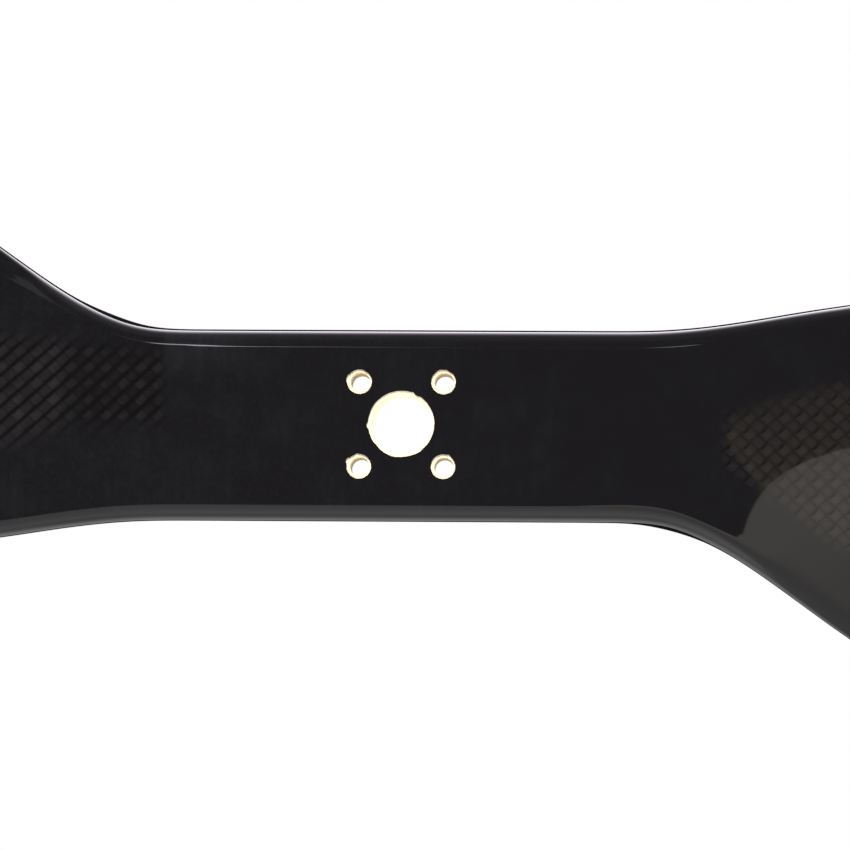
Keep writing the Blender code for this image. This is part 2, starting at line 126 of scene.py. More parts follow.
def chord_z(radius, y):
    """Height of the parting surface."""
    pitch_angle = np.arctan(PITCH / (2 * math.pi * np.maximum(radius, 1.0)))
    slope = np.tan(pitch_angle * smooth(radius, *TWIST_SPAN) ** TWIST_BEND)
    return (y - TWIST_AXIS_Y) * slope + RAKE * smooth(radius, *RAKE_SPAN)


def soft_min(first, second, reach):
    overlap = np.maximum(reach - np.abs(first - second), 0.0) / reach
    return np.minimum(first, second) - overlap * overlap * reach / 4


def flank(inset, width, crease):
    """Hub edge profile: a rounded edge, a slightly bulging bevel and a soft crease at the flat."""
    corner = EDGE_ROUND * (1 - math.sin(math.radians(FLANK_ANGLE)))
    corner_z = EDGE_WALL + EDGE_ROUND * math.cos(math.radians(FLANK_ANGLE))
    top = HUB_THICK / 2
    inset = np.maximum(inset, 0.0)
    arc = EDGE_WALL + EDGE_ROUND * np.sqrt(1 - (1 - np.minimum(inset, corner) / EDGE_ROUND) ** 2)
    part = (inset - corner) / (width - corner)
    bevel = corner_z + (top - corner_z) * part + BULGE * 4 * part * (1 - np.minimum(part, 1.0))
    return soft_min(np.where(inset < corner, arc, bevel), top, crease)


def airfoil(s):
    """Thickness curve of a four-digit airfoil with a closed tail, 2 at its fullest."""
    return (0.2969 * np.sqrt(s) - 0.1260 * s - 0.3516 * s**2 + 0.2843 * s**3 - 0.1036 * s**4) / 0.05


def flank_widths(side, left):
    """Bevel widths at the leading and trailing side. The hub's flat top is a little off centre."""
    if side < 0:
        return FLANK_WIDTH, FLANK_WIDTH
    return (FLANK_FRONT, FLANK_BACK) if left else (FLANK_BACK, FLANK_FRONT)


def height(radius, y, side, left):
    """Height of the outer face from the parting surface; side is 1 above and -1 below."""
    lead, trail, thick = station(radius)
    share = np.clip((lead - y) / (lead + trail), 0.0, 1.0)
    across = smooth(share)
    blend = smooth(radius, *LEAD_BLEND) * (1 - across) + smooth(radius, *TRAIL_BLEND) * across
    lead_width, trail_width = flank_widths(side, left)
    crease = CREASE + sum(gain * smooth(radius, start, run) for gain, start, run in CREASE_GROWTH)
    hub = np.minimum(flank(lead - y, lead_width, CREASE), flank(y + trail, trail_width, crease))
    side_share = UPPER_SHARE if side > 0 else LOWER_SHARE
    edge = EDGE_TE * np.minimum(1.0, thick / THIN)
    air = side_share * thick * airfoil(share) + edge * share ** 4
    return side * ((1 - blend) * hub + blend * air)


# ---------------------------------------------------------------- fine nodes across and along
# Distances in from the hub's edge: round the edge, up the bevel, then either side of the crease
ARC_NODES = [EDGE_ROUND * (1 - math.cos(math.radians(turn)))
             for turn in np.linspace(0, 90 - FLANK_ANGLE, 9)]
EDGE_NODES = [0.0, 0.0008] + ARC_NODES[1:] + [1.15, 1.45, 1.75]
NEAR_CREASE = (-0.40, -0.25, -0.16, -0.11, -0.07, -0.03, 0.01, 0.05, 0.10, 0.16, 0.25, 0.40, 0.70)
# As a share of the chord, on the blade: closest at the edge
AIR_NODES = 0.17 * np.linspace(0.0, 1.0, len(EDGE_NODES) + len(NEAR_CREASE)) ** 2.1
MIDDLE_NODES = 26


def section_ys(radius, lead_width, trail_width):
    """Node places from the leading to the trailing edge."""
    lead, trail, _ = station(radius)

    def nodes(width, span):
        hub = np.array(EDGE_NODES + [width + step for step in NEAR_CREASE])
        blend = smooth(radius, *span)
        return (1 - blend) * hub + blend * AIR_NODES * (lead + trail)

    lead_ys = lead - nodes(lead_width, LEAD_BLEND)
    trail_ys = -trail + nodes(trail_width, TRAIL_BLEND)[::-1]
    steps = (np.arange(MIDDLE_NODES) + 1) / (MIDDLE_NODES + 1)
    middle = lead_ys[-1] + (trail_ys[0] - lead_ys[-1]) * steps
    return np.concatenate([lead_ys, middle, trail_ys])


LIP_BACK, LIP_FRONT = 0.29, 0.11
LIP_FADE = (60.0, 80.0)                               # start and run along the blade
LIP_ROOT = {True: (0.32, 48.5), False: (0.33, 45.5)}  # left or not: size, radius
LIP_ROOT_REACH = 5.5
LIP_DEPTH = 4.0                                       # how far in from the edge it is felt


def lip(radius, share, left):
    """How far the lower skin's edge stands proud of the upper one's: the halves are a little out of
    register, most of all in the trailing fillet at the root."""
    back = (share > 0.5) == left
    even = np.where(back, LIP_BACK, LIP_FRONT) * (1 - smooth(radius, *LIP_FADE))
    size, centre = LIP_ROOT[left]
    root = size * np.exp(-((radius - centre) / LIP_ROOT_REACH) ** 2)
    return even + np.where(share > 0.5, root, 0.0)


# Bonding lands, the inset of a skin's inner line
LAND = 1.0
LEAD_LAND_SHARE, TRAIL_LAND_SHARE = 0.03, 0.05        # of the chord
THIN_SECTION, THIN_INNER = 2.5 * SKIN, 0.6            # below that height, the inner line's share


def lines(radius, side, left):
    """Outer and inner line of a skin, each as (y, height from the parting surface)."""
    outer_y = section_ys(radius, *flank_widths(side, left))
    lead, trail, _ = station(radius)
    chord = lead + trail
    share = (lead - outer_y) / chord
    outer_h = height(radius, outer_y, side, left)
    if side < 0:
        inset = np.minimum(lead - outer_y, outer_y + trail)
        grow = np.clip(1 - inset / LIP_DEPTH, 0, 1) ** 2
        outer_y = outer_y + np.where(share < 0.5, 1.0, -1.0) * lip(radius, share, left) * grow
    blend = smooth(radius, *TRAIL_BLEND)
    lead_land = min(LAND, LEAD_LAND_SHARE * chord)
    trail_land = (1 - blend) * LAND + blend * TRAIL_LAND_SHARE * chord
    inner_y = outer_y - lead_land * (1 - share) + trail_land * share
    rise = np.abs(outer_h)
    inner_h = side * np.where(rise > THIN_SECTION, rise - SKIN, THIN_INNER * rise)
    for line in (outer_h, inner_h):
        line[0] = line[-1] = side * SEAM_GAP / 2
    return (outer_y, outer_h), (inner_y, inner_h)


RIB_STEPS = ((35.0, 5.0), (38.0, 1.5), (120.0, 1.0), (350.0, 3.5))  # (up to this radius, step)
TIP_STEPS = (0.25, 3.5)                                            # least and most beyond those
TIP_STEP_SHARE = 0.2                                               # of the way left to the tip


def rib_step(radius):
    for limit, step in RIB_STEPS:
        if radius < limit:
            return step
    least, most = TIP_STEPS
    return max(least, min(most, (TIP_RADIUS - radius) * TIP_STEP_SHARE))


def rib_radii():
    radii = []
    radius = 0.0
    while radius < TIP_RADIUS - 0.05:
        radii.append(radius)
        radius += rib_step(radius)
    return np.array(radii + [TIP_RADIUS])


# Where the weave shows, for the left blade (True) and the right one. start: radius it begins at; margin:
# radii and the width hidden at the trailing edge; fade: softness of that; shift: added to LEAD_LIMIT
# In part painted shade: the two blades differ, and the plain black covers more of the right blade where its weave lies
# dark
WEAVE = {
    True: dict(start=38.5, fade=3.0, shift=0.0,
               margin=((40.0, 50.0, 56.0, 67.0, 80.0), (2.6, 3.0, 6.0, 13.0, 14.0))),
    False: dict(start=52.5, fade=4.5, shift=1.5, margin=((40.0,), (11.5,))),
}
WEAVE_START_RUN = 3.0
LEAD_LIMIT = ((44.0, 58.0, 76.0, 110.0), (2.5, 3.5, 9.0, 30.0))  # radii, y where the edge ply begins
LEAD_FADE = 5.0
LEAD_OPEN = (90.0, 30.0)  # start and run beyond which the leading side shows too


def weave_strength(radius, y, left):
    """Where the cloth shows: on the blades, but not under the hub's cover ply nor under the plies that wrap the two
    edges. In part this is painted shade: the right blade's weave begins further out than the left's, where it lies
    dark."""
    rule = WEAVE[left]
    _, trail, _ = station(radius)
    inner = smooth(radius, rule["start"], WEAVE_START_RUN)
    from_trail = smooth(y + trail - np.interp(radius, *rule["margin"]), run=rule["fade"])
    limit = np.interp(radius, *LEAD_LIMIT) + rule["shift"]
    from_lead = smooth(limit - y, run=LEAD_FADE) + smooth(radius, *LEAD_OPEN)
    return inner * from_trail * np.minimum(from_lead, 1.0)


# ---------------------------------------------------------------- mesh helpers
def link_object(name, data):
    obj = bpy.data.objects.new(name, data)
    bpy.context.scene.collection.objects.link(obj)
    return obj


def object_from(name, solid):
    mesh = bpy.data.meshes.new(name)
    solid.to_mesh(mesh)
    solid.free()
    return link_object(name, mesh)


def discard(obj):
    mesh = obj.data
    bpy.data.objects.remove(obj)
    bpy.data.meshes.remove(mesh)


def face_outward(solid):
    bmesh.ops.recalc_face_normals(solid, faces=solid.faces)
    if solid.calc_volume(signed=True) < 0:
        bmesh.ops.reverse_faces(solid, faces=solid.faces)


def cut(obj, cutters):
    """Cuts and bakes the result into the mesh, then clears the cutters away."""
    for tool in cutters:
        mod = obj.modifiers.new("cut", "BOOLEAN")
        mod.operation = "DIFFERENCE"
        mod.solver = "EXACT"
        mod.object = tool
    graph = bpy.context.evaluated_depsgraph_get()
    done = bpy.data.meshes.new_from_object(obj.evaluated_get(graph), preserve_all_data_layers=True,
                                           depsgraph=graph)
    obj.modifiers.clear()
    old = obj.data
    obj.data = done
    bpy.data.meshes.remove(old)
    for tool in cutters:
        discard(tool)


# ---------------------------------------------------------------- holes
CENTRE_HOLE_R = 5.15
BOLT_HOLE_R = 1.65
BOLT_SQUARE = 14.14
CUT_BACK = 0.42   # the cloth's holes are this much larger in radius than the bores
DRILL_Y = 0.1     # the holes stand this far off the middle of the hub's width
FRONT_ROW = 0.13  # the front pair of bolt holes stands this much further out than the back pair
CLOTH_SHIFT = (0.09, 0.0)    # the cloth's holes lie left of the bores, and bare more wood there
BORE_SHIFT = (0.25, -0.04)
THROUGH = 12.0    # cutters reach this far above and below
CLOTH_CLEAR = 0.8  # a cloth cutter starts this far from the middle plane, clear of the other skin

# Chips round a rim: (angle in degrees, width in degrees, depth)
CENTRE_CHIPS = ((183, 9, 0.24), (62, 10, -0.16), (70, 5, 0.10), (255, 30, 0.07), (222, 12, -0.08),
                (300, 14, 0.06))
BOLT_CHIPS = {  # by the bolt hole's sign along X and Y
    (-1, 1): ((163, 34, 0.22), (60, 22, -0.06)),
    (1, 1): ((58, 20, -0.09), (110, 30, 0.04)),
    (-1, -1): ((152, 26, 0.34), (100, 16, 0.10)),
    (1, -1): ((62, 18, 0.12), (200, 26, -0.05)),
}
FRAY_WAVES, FIRST_WAVE = 24, 3


def ragged(seed, amount, chips, chip_scale):
    """Radius offset round a rim: fine fray plus the chips."""
    rng = np.random.default_rng(seed)
    phases = rng.uniform(0, 2 * math.pi, FRAY_WAVES)
    sizes = rng.uniform(0.3, 1.0, FRAY_WAVES)

    def offset(angle):
        fray = sum(size * math.sin(wave * angle + phase) / wave ** 0.5
                   for wave, (size, phase) in enumerate(zip(sizes, phases), FIRST_WAVE))
        total = amount * fray * 0.5
        for where, width, depth in chips:
            away = (math.degrees(angle) - where + 180) % 360 - 180
            total += depth * chip_scale * math.exp(-((away / (width / 2)) ** 4))
        return total

    return offset


def round_cutter(x, y, radius, segments, levels, offset):
    solid = bmesh.new()
    rows = []
    for z in levels:
        row = []
        for k in range(segments):
            angle = 2 * math.pi * k / segments
            reach = radius + offset(angle)
            row.append(solid.verts.new(((x + reach * math.cos(angle)) * MM,
                                        (y + reach * math.sin(angle)) * MM, z * MM)))
        rows.append(row)
    low, high = rows
    for k in range(segments):
        j = (k + 1) % segments
        solid.faces.new((low[k], low[j], high[j], high[k]))
    solid.faces.new(list(reversed(low)))
    solid.faces.new(high)
    return object_from("round_cutter", solid)


def box_cutter(low, high):
    solid = bmesh.new()
    bmesh.ops.create_cube(solid, size=1.0)
    for vert in solid.verts:
        vert.co = Vector([(start + end) / 2 + c * (end - start)
                          for c, start, end in zip(vert.co, low, high)]) * MM
    return object_from("box_cutter", solid)


def hole_cutters(shift, grow, levels, segments, frays, seeds, chip_scale):
    """Cutters of the centre hole and the four bolt holes. Pairs are for the centre and the bolts."""
    def one(x, y, radius, kind, index, chips):
        return round_cutter(x + shift[0], y + shift[1], radius + grow, segments[kind], levels,
                            ragged(seeds[kind] + index, frays[kind], chips, chip_scale))

    tools = [one(0.0, DRILL_Y, CENTRE_HOLE_R, 0, 0, CENTRE_CHIPS)]
    for i, ((x_sign, y_sign), chips) in enumerate(BOLT_CHIPS.items()):
        x = x_sign * BOLT_SQUARE / 2
        y = y_sign * BOLT_SQUARE / 2 + DRILL_Y - (FRONT_ROW if y_sign < 0 else 0.0)
        tools.append(one(x, y, BOLT_HOLE_R, 1, i, chips))
    return tools


def rim_cutters(side):
    """The cloth's cut-back edges: ragged above, plainer below."""
    return hole_cutters(
        CLOTH_SHIFT, CUT_BACK, levels=sorted((side * CLOTH_CLEAR, side * THROUGH)),
        segments=(240, 128), frays=(0.035, 0.028), seeds=(3 + side, 11 + side),
        chip_scale=1.0 if side > 0 else 0.5)


# ---------------------------------------------------------------- skins
DRILLED = 20.0  # the holes all lie within this of the axis, along X


def section(x, side):
    """Outer and inner row of a skin's points at x, and how much the weave shows along them."""
    radius, left = abs(x), bool(x < 0)
    pair = lines(radius, side, left)
    show = weave_strength(radius, pair[0][0], left)
    rows = [np.column_stack([np.full_like(y, x), y, chord_z(radius, y) + rise])
            for y, rise in pair]
    if left:
        rows = [row[::-1] * (1, -1, 1) for row in rows]
        show = show[::-1]
    return rows, show


def shell(name, side, xs):
    """A closed length of skin between the first and last of the stations xs."""
    rows, shows = [], []
    for x in xs:
        pair, show = section(x, side)
        rows += pair
        shows += [show, show]
    count = len(rows[0])
    ring = 2 * count
    last = (len(xs) - 1) * ring
    i = np.arange(count - 1)
    faces = []
    for near in range(0, last, ring):
        far = near + ring
        faces.append(np.column_stack([near + i, near + i + 1, far + i + 1, far + i]))
        faces.append(np.column_stack([near + count + i + 1, near + count + i,
                                      far + count + i, far + count + i + 1]))
        faces.append(np.array([[near, far, far + count, near + count],
                               [far - 1, far + ring - 1, far + count - 1, near + count - 1]]))
    for end in (0, last):
        cap = np.column_stack([end + i, end + count + i, end + count + i + 1, end + i + 1])
        faces.append(cap[:, ::-1] if end else cap)
    mesh = bpy.data.meshes.new(name)
    mesh.from_pydata((np.concatenate(rows) * MM).tolist(), [], np.concatenate(faces).tolist())
    layer = mesh.attributes.new("weave", "FLOAT", "POINT")
    layer.data.foreach_set("value", np.concatenate(shows).astype(np.float32))
    solid = bmesh.new()
    solid.from_mesh(mesh)
    face_outward(solid)
    solid.to_mesh(mesh)
    solid.free()
    return link_object(name, mesh)


def skin(name, side):
    """The middle length is drilled on its own, then the three lengths are welded into one skin."""
    radii = rib_radii()
    inner, outer = radii[radii <= DRILLED], radii[radii >= DRILLED]
    middle = shell("middle", side, np.concatenate([-inner[:0:-1], inner]))
    cut(middle, rim_cutters(side))
    solid = bmesh.new()
    for part in (middle, shell("right", side, outer), shell("left", side, -outer[::-1])):
        solid.from_mesh(part.data)
        discard(part)
    inside = [face for face in solid.faces
              if all(abs(abs(vert.co.x) - DRILLED * MM) < 1e-7 for vert in face.verts)]
    bmesh.ops.delete(solid, geom=inside, context="FACES")
    bmesh.ops.remove_doubles(solid, verts=solid.verts, dist=1e-7)
    obj = object_from(name, solid)
    obj.data.materials.append(CARBON)
    return obj


# ---------------------------------------------------------------- hub block
BLOCK_END = 38.0
BLOCK_EDGE = HUB_HALF_WIDTH - LAND - 1.15     # half width at the upright sides
BLOCK_FLAT = 12.9                             # half width of the flats
BLOCK_SHOULDER = 1.9                          # height of the upright sides
BLOCK_TOP = HUB_THICK / 2 - SKIN - 0.02
FIT = 0.2
CAP_THICK, CAP_ROOT, CAP_HALF_WIDTH = 0.5, 24.0, 11.5  # the spar caps let into the block


def hub_block():
    """Bevelled under the skins' flanks, with pockets for the spar caps and five drilled holes."""
    profile = [(BLOCK_EDGE, BLOCK_SHOULDER), (BLOCK_FLAT, BLOCK_TOP)]
    profile += [(-y, z) for y, z in reversed(profile)]
    profile += [(-y, -z) for y, z in profile[:2]] + [(-y, -z) for y, z in profile[2:]]
    solid = bmesh.new()
    ends = [[solid.verts.new((x * MM, y * MM, z * MM)) for y, z in profile]
            for x in (-BLOCK_END, BLOCK_END)]
    for i in range(len(profile)):
        j = (i + 1) % len(profile)
        solid.faces.new((ends[0][i], ends[1][i], ends[1][j], ends[0][j]))
    solid.faces.new(ends[0])
    solid.faces.new(list(reversed(ends[1])))
    face_outward(solid)
    obj = object_from("drilled_hub_block", solid)
    obj.data.materials.append(BEECH)
    tools = hole_cutters(BORE_SHIFT, 0.0, levels=(-THROUGH, THROUGH), segments=(160, 96),
                         frays=(0.012, 0.010), seeds=(41, 43), chip_scale=0.0)
    floor_z = HUB_THICK / 2 - SKIN - FIT - CAP_THICK - FIT
    half = CAP_HALF_WIDTH + FIT
    for x_sign in (1, -1):
        for z_sign in (1, -1):
            xs = sorted((x_sign * (CAP_ROOT - FIT), x_sign * (BLOCK_END + 2)))
            zs = sorted((z_sign * floor_z, z_sign * HUB_THICK))
            tools.append(box_cutter((xs[0], -half, zs[0]), (xs[1], half, zs[1])))
    cut(obj, tools)
    return obj


# ---------------------------------------------------------------- node helpers
class Signal:
    """A node's output. Arithmetic on it adds math nodes to its graph."""

    def __init__(self, net, socket):
        self.net = net
        self.socket = socket

    def __add__(self, other):
        return self.net.math("ADD", self, other)

    def __sub__(self, other):
        return self.net.math("SUBTRACT", self, other)

    def __rsub__(self, other):
        return self.net.math("SUBTRACT", other, self)

    def __mul__(self, other):
        return self.net.math("MULTIPLY", self, other)

    def __truediv__(self, other):
        return self.net.math("DIVIDE", self, other)

    def __pow__(self, other):
        return self.net.math("POWER", self, other)

    def __abs__(self):
        return self.net.math("ABSOLUTE", self)

    def scaled(self, by, plus):
        return self.net.math("MULTIPLY_ADD", self, by, plus)

    def ramp(self, start, end, low=0.0, high=1.0, kind="SMOOTHSTEP"):
        """Goes from low at start to high at end; start may be the larger."""
        return self.net.node("ShaderNodeMapRange", enumerate((self, start, end, low, high)),
                             interpolation_type=kind, clamp=True)

    def split(self):
        parts = self.net.add("ShaderNodeSeparateXYZ", {0: self})
        return [Signal(self.net, socket) for socket in parts.outputs]


class Graph:
    """Short hand for building a node tree."""

    def __init__(self, tree):
        self.tree = tree
        tree.nodes.clear()

    def add(self, kind, inputs=(), **settings):
        """Adds a node; inputs map a socket's name or number to a Signal or a value."""
        made = self.tree.nodes.new(kind)
        for key, value in settings.items():
            setattr(made, key, value)
        for key, value in dict(inputs).items():
            if isinstance(value, Signal):
                self.tree.links.new(value.socket, made.inputs[key])
            else:
                made.inputs[key].default_value = value
        return made

    def node(self, kind, inputs=(), output=0, **settings):
        return Signal(self, self.add(kind, inputs, **settings).outputs[output])

    def math(self, operation, first, second=0.0, third=0.0, clamp=False):
        return self.node("ShaderNodeMath", enumerate((first, second, third)),
                         operation=operation, use_clamp=clamp)

    def mix(self, factor, at0, at1, blend="MIX"):
        """Mixes two colours, each a Signal or an RGB triple."""
        at0, at1 = (c if isinstance(c, Signal) else (*c, 1.0) for c in (at0, at1))
        # 6 and 7 are the colour sockets
        return self.node("ShaderNodeMix", {0: factor, 6: at0, 7: at1}, output=2,
                         data_type="RGBA", blend_type=blend)

    def join(self, x, y, z):
        return self.node("ShaderNodeCombineXYZ", enumerate((x, y, z)))

    def dimmed(self, colour, level):
        return self.mix(1.0, colour, self.join(level, level, level), "MULTIPLY")

    def noise(self, point, scale, detail=2.0, rough=0.5):
        return self.node("ShaderNodeTexNoise", {"Vector": point, "Scale": scale, "Detail": detail,
                                                "Roughness": rough}, output="Fac")

    def voronoi(self, point, scale):
        return self.node("ShaderNodeTexVoronoi", {"Vector": point, "Scale": scale},
                         output="Distance")

    def bump(self, relief, distance, strength):
        return self.node("ShaderNodeBump",
                         {"Height": relief, "Distance": distance, "Strength": strength})


def new_material(name, look):
    """look(net, point) returns the Principled shader's inputs."""
    mat = bpy.data.materials.new(name)
    mat.use_nodes = True
    net = Graph(mat.node_tree)
    point = net.node("ShaderNodeTexCoord", output="Object")
    shader = net.node("ShaderNodeBsdfPrincipled", look(net, point))
    net.add("ShaderNodeOutputMaterial", {0: shader})
    return mat


# ---------------------------------------------------------------- materials
TOW = 1.99         # mm, one tow of the plain weave
WEAVE_LEAN = 47.2  # degrees between a row of tows' normal and the blade's length
TOW_WANDER = 0.0012
CLOTH_DARK, CLOTH_LIGHT = (0.0020, 0.0018, 0.0019), (0.0080, 0.0074, 0.0078)
CLOTH_GLEAM = 0.26
PLY_DARK, PLY_DUST_AND_SHEEN = (0.0052, 0.0047, 0.0056), (0.0120, 0.0132, 0.0160)


def cover_ply(net, point, x, y):
    """Nearly even black, with faint streaks across the hub, a little dust and a painted sheen at its back left."""
    streak = net.noise(net.join(x * 1.0, y * 0.07, 0.0), scale=900.0, detail=3.0, rough=0.6)
    cloud = net.noise(point, scale=130.0, detail=6.0, rough=0.72)
    dust_and_sheen = cloud.ramp(start=0.40, end=0.85) * streak.ramp(start=0.35, end=0.8, low=0.35)
    speck = net.noise(net.join(x, y * 0.5, 0.0), scale=2300.0, detail=2.0, rough=0.7)
    dust_and_sheen = speck.ramp(start=0.42, end=0.80).scaled(by=0.30, plus=dust_and_sheen)
    # painted sheen: a streaky pale haze at the hub's back left, beside the highlight on the crease
    patch = y.ramp(start=0.007, end=0.0125) * (
        x.ramp(start=-0.020, end=-0.034) * x.ramp(start=-0.0405, end=-0.0395))
    dust_and_sheen = (patch * streak.scaled(by=1.2, plus=0.1)).scaled(by=0.7, plus=dust_and_sheen)
    more_left = x.ramp(start=0.05, end=-0.06).scaled(by=0.75, plus=0.45)
    # the pale colour serves both the real dust and the painted sheen
    return net.mix(net.math("MULTIPLY", dust_and_sheen, more_left, clamp=True), PLY_DARK, PLY_DUST_AND_SHEEN)


def woven_carbon(net, point):
    """Plain-weave cloth at about 45 degrees under clear resin. The cloth reflects through a rough,
    embossed layer of its own, and the resin over it is smooth and mirrors the room sharply."""
    x, y, _ = point.split()
    shifted = x + (net.noise(point, scale=18.0, detail=1.0) - 0.5) * TOW_WANDER
    per_x = 1000.0 / TOW * math.cos(math.radians(WEAVE_LEAN))
    per_y = 1000.0 / TOW * math.sin(math.radians(WEAVE_LEAN))
    # tow counts across the two families, and the part within a tow
    tow_u = shifted * per_x + y * per_y
    tow_v = shifted * per_x - y * per_y
    part_u, part_v = net.math("FRACT", tow_u), net.math("FRACT", tow_v)
    cell = net.math("FLOOR", tow_u) + net.math("FLOOR", tow_v)
    over = net.math("GREATER_THAN", net.math("PINGPONG", cell, 1.0), 0.5)

    def pick(choice, if_one, if_zero):
        return if_one * choice + if_zero * (1.0 - choice)

    def tow(cross_part, long_part):
        """Flat-topped with rounded shoulders across, and risen over the tow it crosses."""
        across = 1.0 - abs(cross_part * 2.0 - 1.0) ** 3.0
        return across * net.math("SINE", long_part * math.pi).scaled(by=0.5, plus=0.5)

    tow_height = pick(over, tow(part_v, part_u), tow(part_u, part_v))
    # filaments along each tow: fine across it, long along it
    fine, long = 9.0, 0.35
    strand = pick(over,
                  net.noise(net.join(tow_u * long, tow_v * fine, 0.0), scale=1.0),
                  net.noise(net.join(tow_u * fine, tow_v * long, 3.0), scale=1.0))

    patch = net.noise(point, scale=60.0).ramp(start=0.3, end=0.7, low=0.75)
    show = net.node("ShaderNodeAttribute", output="Fac", attribute_name="weave") * patch

    # painted shade: a dark dash on the back left of every second crossing, on the side of the diving tows turned from
    # the light
    off_u, off_v = part_u - 0.5, part_v - 0.12
    dash_shade = off_u * off_u * 5.0 + off_v * off_v * 40.0
    dash_shade = dash_shade.ramp(start=0.15, end=1.0, low=1.0, high=0.0) * over
    shade = tow_height.scaled(by=0.9, plus=0.1) * (1.0 - dash_shade)
    # painted light: the tows of one family are drawn a little brighter than those of the other
    shade = shade * strand.scaled(by=0.5, plus=0.75) * over.scaled(by=0.22, plus=0.84)
    # painted highlight: on the left the light runs along one family of tows, drawn into the colour as rows of bright
    # dashes between furrows
    furrow = abs(part_v - 0.56).ramp(start=0.50, end=0.10)
    notch = abs(part_u - 0.5).ramp(start=0.50, end=0.30, low=0.45)
    rows = furrow * notch * over.scaled(by=0.55, plus=0.60)
    rows = rows * strand.scaled(by=0.7, plus=0.6) * (1.0 - dash_shade * 0.8)
    # painted light: further out on the left blade the rows are drawn much brighter
    rows = rows * x.ramp(start=-0.0550, end=-0.0590, low=0.85, high=3.1)
    mottle = net.noise(point, scale=380.0, detail=3.0, rough=0.6)
    rows = rows * mottle.ramp(start=0.3, end=0.7, low=0.55, high=1.45)
    left_side = net.math("LESS_THAN", x, 0.0)
    shade = pick(left_side, rows, shade)
    cloth = net.mix(shade, CLOTH_DARK, CLOTH_LIGHT)

    relief = strand.scaled(by=0.12, plus=tow_height) * show
    # the resin has a hint of orange peel and of the weave printing through
    peel = net.noise(point, scale=160.0) * 0.6 + relief * 0.05
    return {
        "Base Color": net.mix(show, cover_ply(net, point, x, y), cloth),
        "Roughness": strand.scaled(by=0.10, plus=0.30),
        "Specular IOR Level": shade * show * CLOTH_GLEAM,
        "Specular Tint": net.mix(left_side, at0=(1.0, 0.95, 0.87), at1=(1.0, 0.96, 1.0)),
        "Normal": net.bump(relief, distance=0.00008, strength=0.7),
        "Coat Weight": 1.0,
        "Coat IOR": 1.5,
        "Coat Roughness": (1.0 - show).scaled(by=0.02, plus=0.015),
        "Coat Normal": net.bump(peel, distance=0.000010, strength=0.5),
    }


def drilled_beech(net, point):
    """Pale hardwood, with fine pores along the span and painted shade deep in the small holes."""
    x, y, z = point.split()
    grain = net.noise(net.join(x * 0.12, y, z * 1.0), scale=900.0, detail=3.0, rough=0.6)
    pores = net.voronoi(net.join(x * 0.15, y, z), scale=2600.0)
    ring = net.noise(net.join(x * 0.05, y, z * 2.0), scale=260.0)
    wood = net.mix(grain.ramp(start=0.3, end=0.7), at0=(0.93, 0.82, 0.56), at1=(0.99, 0.93, 0.74))
    in_pore = pores.ramp(start=0.0, end=0.35, low=1.0, high=0.0)
    wood = net.mix(in_pore * 0.35, wood, at1=(0.66, 0.48, 0.26))
    wood = net.mix(ring * 0.25, wood, at1=(0.95, 0.82, 0.55))
    # beyond the centre hole's wall lie the small holes
    small = net.math("SQRT", x * x + y * y).ramp(start=0.0058, end=0.0072)
    # painted shade: the small holes' walls darken to brown towards their lower end, with a little in the centre hole
    deep = z.ramp(start=0.0036, end=-0.0010)
    deep_shade = deep * small.scaled(by=0.70, plus=0.02)
    deep_shade = deep_shade * net.noise(point, scale=700.0, detail=3.0).scaled(by=0.5, plus=0.72)
    return {
        "Base Color": net.mix(deep_shade, wood, at1=(0.33, 0.225, 0.115)),
        # painted light: the wood glows faintly, more in the centre hole than in the small ones
        "Emission Color": (1.0, 0.90, 0.71, 1.0),
        "Emission Strength": small.scaled(by=-0.14, plus=0.25),
        "Roughness": 0.72,
        "Specular IOR Level": 0.25,
        "Normal": net.bump(grain - pores * 0.4, distance=0.00006, strength=0.7),
    }


def carbon_tape(net, point):
    """Filaments along the blade in matt resin."""
    x, y, z = point.split()
    fibre = net.noise(net.join(x * 0.02, y, z), scale=2400.0, detail=3.0, rough=0.65)
    ribbon = net.noise(net.join(x * 0.01, y, z), scale=260.0, detail=1.0)
    return {
        "Base Color": net.mix(fibre * ribbon.scaled(by=0.6, plus=0.5),
                              at0=(0.008, 0.008, 0.009), at1=(0.055, 0.054, 0.056)),
        "Roughness": ribbon.scaled(by=0.2, plus=0.3),
        "Normal": net.bump(fibre, distance=0.00004, strength=0.6),
    }


def balsa(net, point):
    x, y, z = point.split()
    grain = net.noise(net.join(x, y, z * 0.1), scale=1300.0, detail=3.0, rough=0.6)
    return {
        "Base Color": net.mix(grain, at0=(0.62, 0.47, 0.29), at1=(0.90, 0.80, 0.62)),
        "Roughness": 0.8,
        "Normal": net.bump(grain, distance=0.00008, strength=0.8),
    }


def foam(net, point):
    cells = net.voronoi(point, scale=1500.0)
    tint = net.noise(point, scale=60.0)
    return {
        "Base Color": net.mix(cells.scaled(by=0.6, plus=tint * 0.3),
                              at0=(0.74, 0.70, 0.58), at1=(0.93, 0.91, 0.84)),
        "Roughness": 0.9,
        "Normal": net.bump(cells, distance=0.00025, strength=0.8),
    }


def paste(net, point):
    cloud = net.noise(point, scale=220.0, detail=3.0)
    bubble = net.voronoi(point, scale=900.0).ramp(start=0.0, end=0.22, low=1.0, high=0.0)
    return {
        "Base Color": net.mix(cloud, at0=(0.48, 0.41, 0.26), at1=(0.74, 0.67, 0.49)),
        "Roughness": cloud.scaled(by=0.3, plus=0.3),
        "Normal": net.bump(cloud - bubble, distance=0.00008, strength=0.6),
    }


